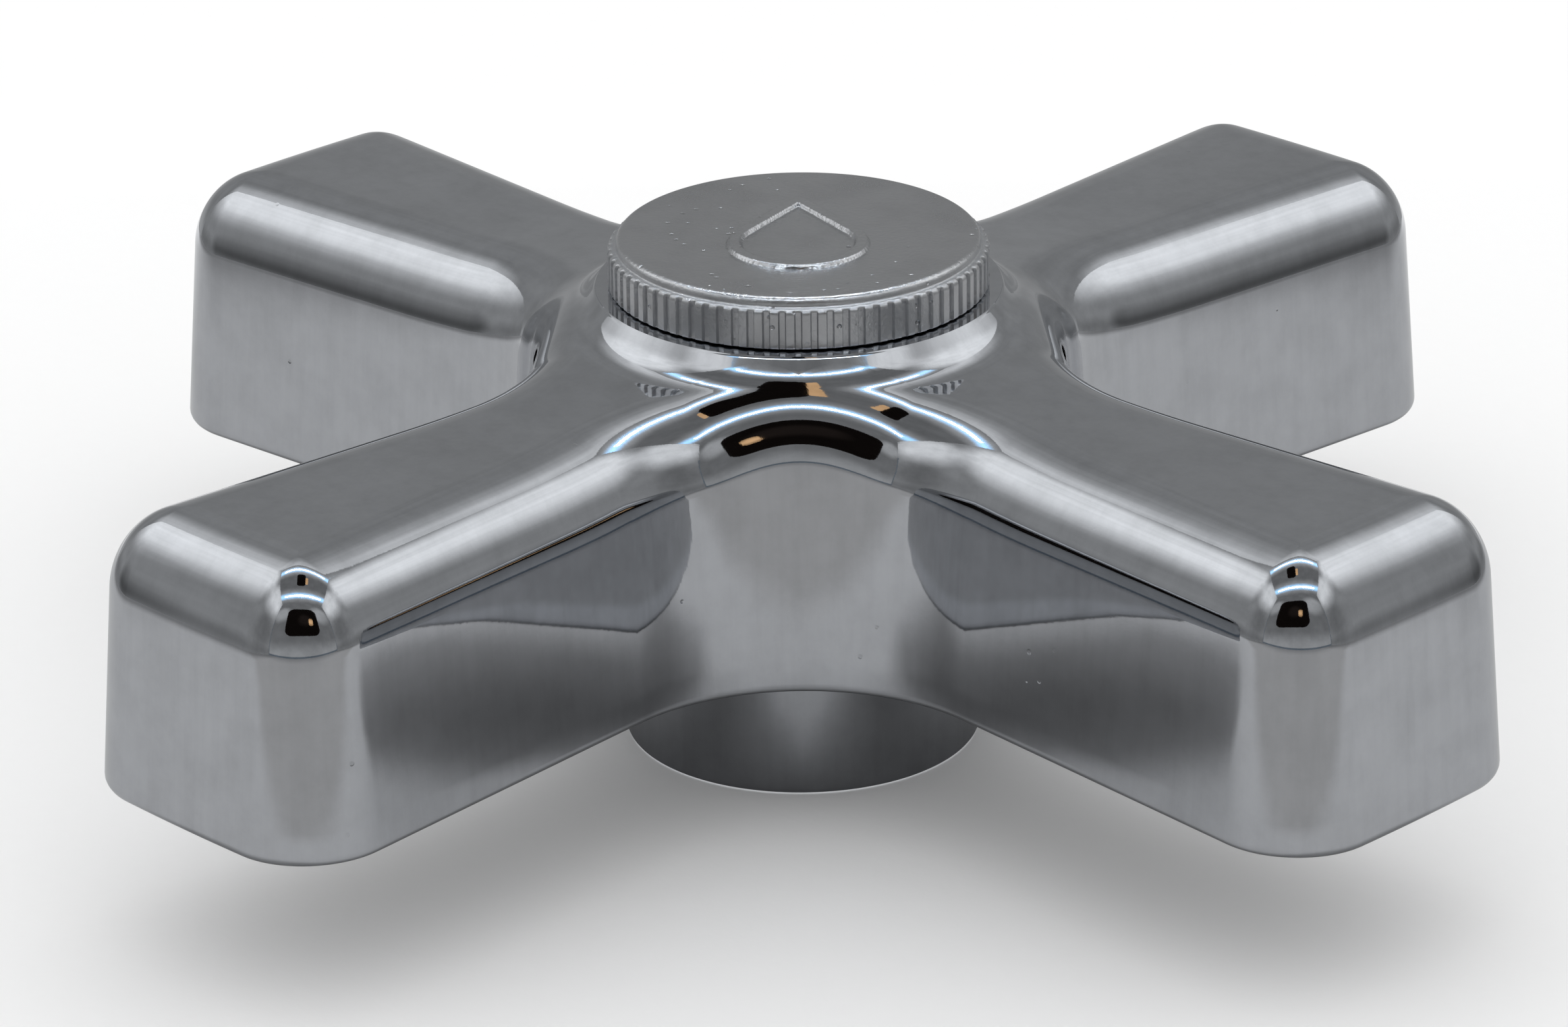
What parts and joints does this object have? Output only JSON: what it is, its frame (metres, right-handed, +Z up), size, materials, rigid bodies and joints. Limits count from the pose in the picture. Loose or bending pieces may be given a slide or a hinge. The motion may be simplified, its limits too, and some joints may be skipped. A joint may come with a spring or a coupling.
{
  "type": "water valve cross handle",
  "caption": "Chromed cross handle for a water valve: hollow flared arms, skirted hub with splined socket, fixing screw and screw-on knurled index cap.",
  "frame": {"origin": "centre of the flat lower face of the hub's skirt, on the stem axis", "axes": "+Z up along the valve stem towards the cap; the four arms lie along +X, -X, +Y and -Y"},
  "size_m": [0.076, 0.076, 0.0248],
  "materials": {
    "chrome_body": "polished chrome plate over die-cast zinc",
    "chrome_cap": "slightly grainy chrome plate with a straight knurl",
    "brass": "turned and broached brass",
    "zinc_steel": "bright zinc plated steel",
    "spring_steel": "darker spring steel",
    "rubber": "black moulded rubber"
  },
  "bodies": {
    "handle": {"handle_body": "chrome_body", "broach_insert": "brass"},
    "ring": {"cap_ring": "rubber"},
    "cap": {"index_cap": "chrome_cap"},
    "washers": {"flat_washer": "zinc_steel", "lock_washer": "spring_steel"},
    "screw": {"handle_screw": "zinc_steel"}
  },
  "joints": [
    {"name": "cap_lift", "type": "slide", "parent": "handle", "child": "ring", "axis": [0, 0, 1], "range_m": [0, 0.003]},
    {"name": "cap_spin", "type": "hinge", "parent": "ring", "child": "cap", "pos_m": [0, 0, 0.0222], "axis": [0, 0, 1], "range_deg": [0, 1080]},
    {"name": "screw_lift", "type": "slide", "parent": "handle", "child": "washers", "axis": [0, 0, 1], "range_m": [0, 0.0016]},
    {"name": "screw_spin", "type": "hinge", "parent": "washers", "child": "screw", "pos_m": [0, 0, 0.0169], "axis": [0, 0, 1], "continuous": true}
  ],
  "couplings": [
    {"joint": "cap_lift", "follows": "cap_spin", "m_per_rad": 0.00015915}
  ]
}
